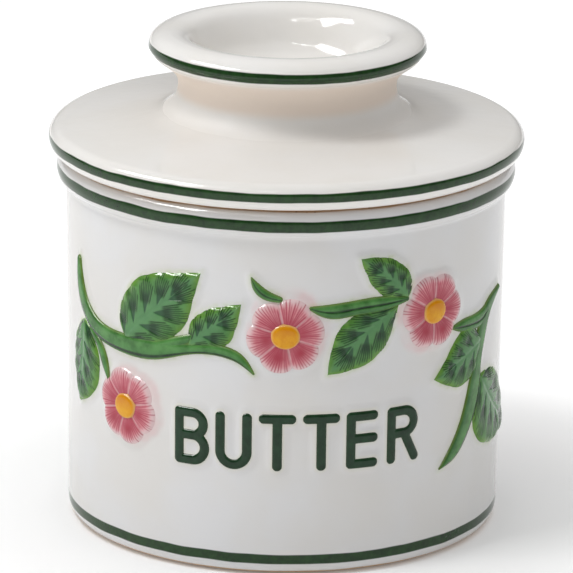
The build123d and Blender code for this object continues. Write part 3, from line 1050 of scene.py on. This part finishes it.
def petals_piece(name, material, seed):
    """Six softly domed petals round the eye, with strokes brushed out past their margins."""
    pick = np.random.default_rng(seed)
    s, z = wall_place(name + "_eye")
    turn = math.radians(FLOWERS[name])
    spokes = 420
    rings = 46
    angle = np.linspace(0, 2 * np.pi, spokes, endpoint=False)
    reach, lobe = petal_edge(angle, FLOWERS[name])
    inner = 0.9 * EYE_RADIUS
    t = np.linspace(0, 1, rings)[:, None]
    radius = inner + t * (reach - inner)
    points = np.stack([s + radius * np.cos(angle), z + radius * np.sin(angle)], axis=-1)
    petal, share = np.divmod((angle - turn) / (2 * np.pi / PETAL_COUNT) + 0.5, 1)
    share = share - 0.5
    spacing = radius * (2 * np.pi / PETAL_COUNT)
    streak = np.zeros(radius.shape)
    deep = np.zeros(radius.shape)
    for k in range(PETAL_COUNT):
        mine = petal % PETAL_COUNT == k
        lower = 0.5 - 0.5 * math.sin(turn + k * 2 * math.pi / PETAL_COUNT)
        heart = np.exp(-(((t - 0.08 - 0.30 * lower) / 0.26) ** 2)) * np.exp(-((share / 0.34) ** 2))
        deep[:, mine] = (heart * (0.45 + 0.55 * lower))[:, mine]
        for lane in np.linspace(-0.46, 0.46, 12):
            place = lane * (0.82 + 0.18 * t) + pick.uniform(-0.015, 0.015)
            length = pick.uniform(0.88, 1.28) - 0.10 * abs(2 * lane)
            thick = pick.uniform(0.15, 0.22) * (1.25 - 0.65 * t)
            stroke = np.exp(-(((share - place) * spacing / thick) ** 2))
            stroke = stroke * smoothstep((length - t) / 0.22) * pick.uniform(0.6, 1.0)
            streak[:, mine] = np.maximum(streak, stroke)[:, mine]
    crack = np.exp(-(((0.5 - np.abs(share)) * spacing / 0.22) ** 2))
    fade = smoothstep((t - 0.60) / 0.36)
    pale = np.maximum(0.55 * crack * (1 - 0.6 * t), 0.95 * fade)
    inset = (1 - t) * (reach - inner)
    height = RELIEF_BASE - 0.10 + bevelled(inset, 0.76, 1.0) * (0.7 + 0.3 * lobe**0.7)
    height -= 0.16 * np.exp(-(((radius - inner) / 1.1) ** 2))
    height -= 0.05 * streak + 0.14 * crack * smoothstep(inset / 1.5)
    marks = {
        "streak": (streak * (1 - 0.5 * crack)).ravel(),
        "deep": deep.ravel(),
        "pale": pale.ravel(),
    }
    faces = grid_faces(rings, spokes, wrap=True)
    node = name + "_petals"
    height = height.ravel()
    points = points.reshape(-1, 2)
    return sheet_piece(node, points, height, faces, material, marks, node)


def eye_piece(name, material):
    """The flower's domed oval eye."""
    s, z = wall_place(name + "_eye")
    spokes = 72
    rings = 22
    angle = np.linspace(0, 2 * np.pi, spokes, endpoint=False)
    t = np.repeat(np.linspace(0.0, 1, rings)[:, None], spokes, axis=1)
    points = np.stack(
        [
            s + EYE_STRETCH[0] * EYE_RADIUS * t * np.cos(angle),
            z + EYE_STRETCH[1] * EYE_RADIUS * t * np.sin(angle),
        ],
        axis=-1,
    ).reshape(-1, 2)
    height = RELIEF_BASE + 0.15 + 0.85 * np.sqrt(np.maximum(1 - t**3.6, 0)).ravel()
    crown = smoothstep((points[:, 1] - z + 1.0) / 3.2) * (1 - t.ravel() ** 4)
    marks = {"crown": crown, "rim": smoothstep((t.ravel() - 0.80) / 0.2)}
    faces = grid_faces(rings, spokes, wrap=True)
    faces[faces < spokes] = 0
    used, flat = np.unique(faces, return_inverse=True)
    faces = flat.reshape(-1, 4)
    marks = {key: values[used] for key, values in marks.items()}
    node = name + "_eye"
    return sheet_piece(node, points[used], height[used], faces, material, marks, node)


def letter_piece(number, paths, material):
    """One raised letter with rounded strokes."""
    points, depth, _, faces = stroke_sheet(paths, STEP)
    height = RELIEF_BASE - 0.03 + 0.36 * rounded(depth, 1.0)
    marks = {"rim": np.exp(-((depth / 0.25) ** 2))}
    name = f"letter_{number}"
    return sheet_piece(name, points, height, faces, material, marks, "lettering")


def garland(leaf_paint, stem_paint, petal_paint, eye_paint):
    """Every sprig of the front garland."""
    pieces = []
    for seed, name in enumerate(LEAVES):
        pieces.append(leaf_piece(name, leaf_paint, seed))
    for name in ("left_shoot", "centre_stem", "bud_leaf"):
        pieces.append(stem_piece(name, [name], stem_paint))
    pieces.append(stem_piece("left_stem", ["left_stem", "left_petiole"], stem_paint))
    pieces.append(stem_piece("right_stem", ["right_stem", "right_hook"], stem_paint))
    for seed, name in enumerate(FLOWERS):
        pieces.append(petals_piece(name, petal_paint, 20 + seed))
        pieces.append(eye_piece(name, eye_paint))
    return pieces


BACK_OF = {
    # last word of a sprig's name: the CAD node and the slot of its twin on the far side
    "leaf": ("back_leaves", "leaf_glaze"),
    "petals": ("back_flower_petals", "petal_glaze"),
    "eye": ("back_flower_eyes", "eye_glaze"),
    "stem": ("back_stems", "stem_glaze"),
    "shoot": ("back_stems", "stem_glaze"),
}


def back_garland(pieces):
    """The same sprigs on the far side of the pot."""
    for piece in pieces:
        node, slot = BACK_OF[piece.name.split("_")[-1]]
        twin = add_object("back_" + piece.name, piece.data)
        twin.rotation_euler.z = BACK_TURN
        bpy.context.view_layer.update()
        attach(twin, "crock")
        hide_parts(node)


# ------------------------------------------------------------------ stage, lights and camera
CAMERA_ELEVATION = 16.71      # degrees above the table
CAMERA_DISTANCE = 1233.4 * MM
CAMERA_TARGET = Vector((0.385, 0, 49.8)) * MM
CAMERA_ROLL = 0.72
CAMERA_LENS = 359.0
WALL_LIGHT = 0.12             # brightness of the studio at eye level and overhead
CEILING_LIGHT = 0.86
SKY_AXIS = (0.0, 0.12, 0.99)   # the studio is brightest this way
LAMP_AIM = Vector((0, 0, 60)) * MM
LAMP_DISTANCE = 800 * MM


def add_camera():
    """A long lens from the front, a little above the lid."""
    data = bpy.data.cameras.new("camera")
    data.lens = CAMERA_LENS
    data.sensor_width = 36.0
    camera = add_object("camera", data)
    tilt = math.radians(CAMERA_ELEVATION)
    camera.location = CAMERA_TARGET + CAMERA_DISTANCE * Vector((0, -math.cos(tilt), math.sin(tilt)))
    upright = Matrix.Rotation(math.pi / 2 - tilt, 4, "X")
    roll = Matrix.Rotation(math.radians(CAMERA_ROLL), 4, "Z")
    camera.rotation_euler = (upright @ roll).to_euler()
    bpy.context.scene.camera = camera


def add_softbox(name, turn, rise, size, power, seen):
    """A rectangular area light aimed at the pot from turn degrees right of the front.

    A softbox is either seen in the glaze as a reflection or lights the pot, never both.
    """
    data = bpy.data.lights.new(name, "AREA")
    data.shape = "RECTANGLE"
    data.size, data.size_y = size
    data.energy = power
    lamp = add_object(name, data)
    turn = math.radians(turn)
    rise = math.radians(rise)
    out = Vector((math.sin(turn) * math.cos(rise), -math.cos(turn) * math.cos(rise), math.sin(rise)))
    lamp.location = LAMP_AIM + LAMP_DISTANCE * out
    lamp.rotation_euler = out.to_track_quat("Z", "Y").to_euler()
    lamp.visible_diffuse = not seen
    lamp.visible_glossy = seen
    if seen:
        data.cycles.max_bounces = 1


def add_stage():
    """A pale floor that runs out of sight, with faint mottling and a painted glow."""
    paint = Paint("pale_floor", Roughness=0.7)
    wash = paint.spread(paint.noise(60.0, 3.0), 0.3, 0.7)
    paint.colour(paint.mix(wash, (0.86, 0.86, 0.86), (0.88, 0.88, 0.88)))
    # painted light: the floor glows, more so away from the pot, which whitens it and lightens the pot's
    # shadow on it
    glow = paint.spread(paint.radius(), 52.0, 120.0, 0.12, 0.34)
    paint.feed(paint.shader.inputs["Emission Strength"], glow)
    paint.shader.inputs["Emission Color"].default_value = (1.0, 1.0, 1.0, 1.0)
    reach = 6.0
    mesh = bpy.data.meshes.new("floor")
    corners = [(-reach, -reach, 0), (reach, -reach, 0), (reach, reach, 0), (-reach, reach, 0)]
    mesh.from_pydata(corners, [], [(0, 1, 2, 3)])
    mesh.materials.append(paint.material)
    floor = add_object("floor", mesh)
    world = bpy.data.worlds.new("studio")
    world.use_nodes = True
    nodes = world.node_tree.nodes
    links = world.node_tree.links
    direction = nodes.new("ShaderNodeTexCoord")
    lean = nodes.new("ShaderNodeVectorMath")
    lean.operation = "DOT_PRODUCT"
    lean.inputs[1].default_value = SKY_AXIS
    rise = nodes.new("ShaderNodeMapRange")
    rise.interpolation_type = "SMOOTHSTEP"
    rise.inputs["From Max"].default_value = 0.9
    rise.inputs["To Min"].default_value = WALL_LIGHT
    rise.inputs["To Max"].default_value = CEILING_LIGHT
    links.new(direction.outputs["Generated"], lean.inputs[0])
    links.new(lean.outputs["Value"], rise.inputs["Value"])
    links.new(rise.outputs["Result"], nodes["Background"].inputs["Strength"])
    nodes["Background"].inputs["Color"].default_value = (1.0, 1.0, 1.0, 1.0)
    bpy.context.scene.world = world


def main():
    bpy.context.scene.view_settings.view_transform = "Standard"
    crock_bands = [(2.7, 4.8, 45.0), (76.0, 78.4, 45.0)]
    lid_bands = [(82.9, 84.9, 45.0), (102.4, 104.7, 27.0)]
    crock_bare = [(-1.0, 0.9, 35.0), (80.2, 81.0, 43.0)]
    lid_bare = [(80.0, 80.9, 30.0)]
    crock_glaze = white_glaze("crock_glaze", SHADED_CROCK_WHITE, crock_bands, crock_bare)
    lid_glaze = white_glaze("lid_glaze", LID_WHITE, lid_bands, lid_bare, warm=(93.8, 101.2))
    bell_glaze = white_glaze("bell_inner_glaze", LID_WHITE, [], [])
    crock_piece(crock_glaze)
    lid_piece(lid_glaze)
    bell_piece(bell_glaze)
    sprigs = garland(leaf_glaze(), stem_glaze(), petal_glaze(), eye_glaze())
    back_garland(sprigs)
    green = letter_glaze()
    for number, paths in enumerate(letter_strokes(), 1):
        letter_piece(number, paths, green)
    add_camera()
    add_stage()
    add_softbox("high_key", -52, 62, (0.20, 0.20), 1.95, seen=False)
    add_softbox("side_key", -78, 20, (0.46, 0.30), 0.8, seen=False)
    add_softbox("left_window", -72, 41, (0.56, 0.18), 11.0, seen=True)
    add_softbox("front_strip", -28, 43, (0.50, 0.03), 0.9, seen=True)


main()
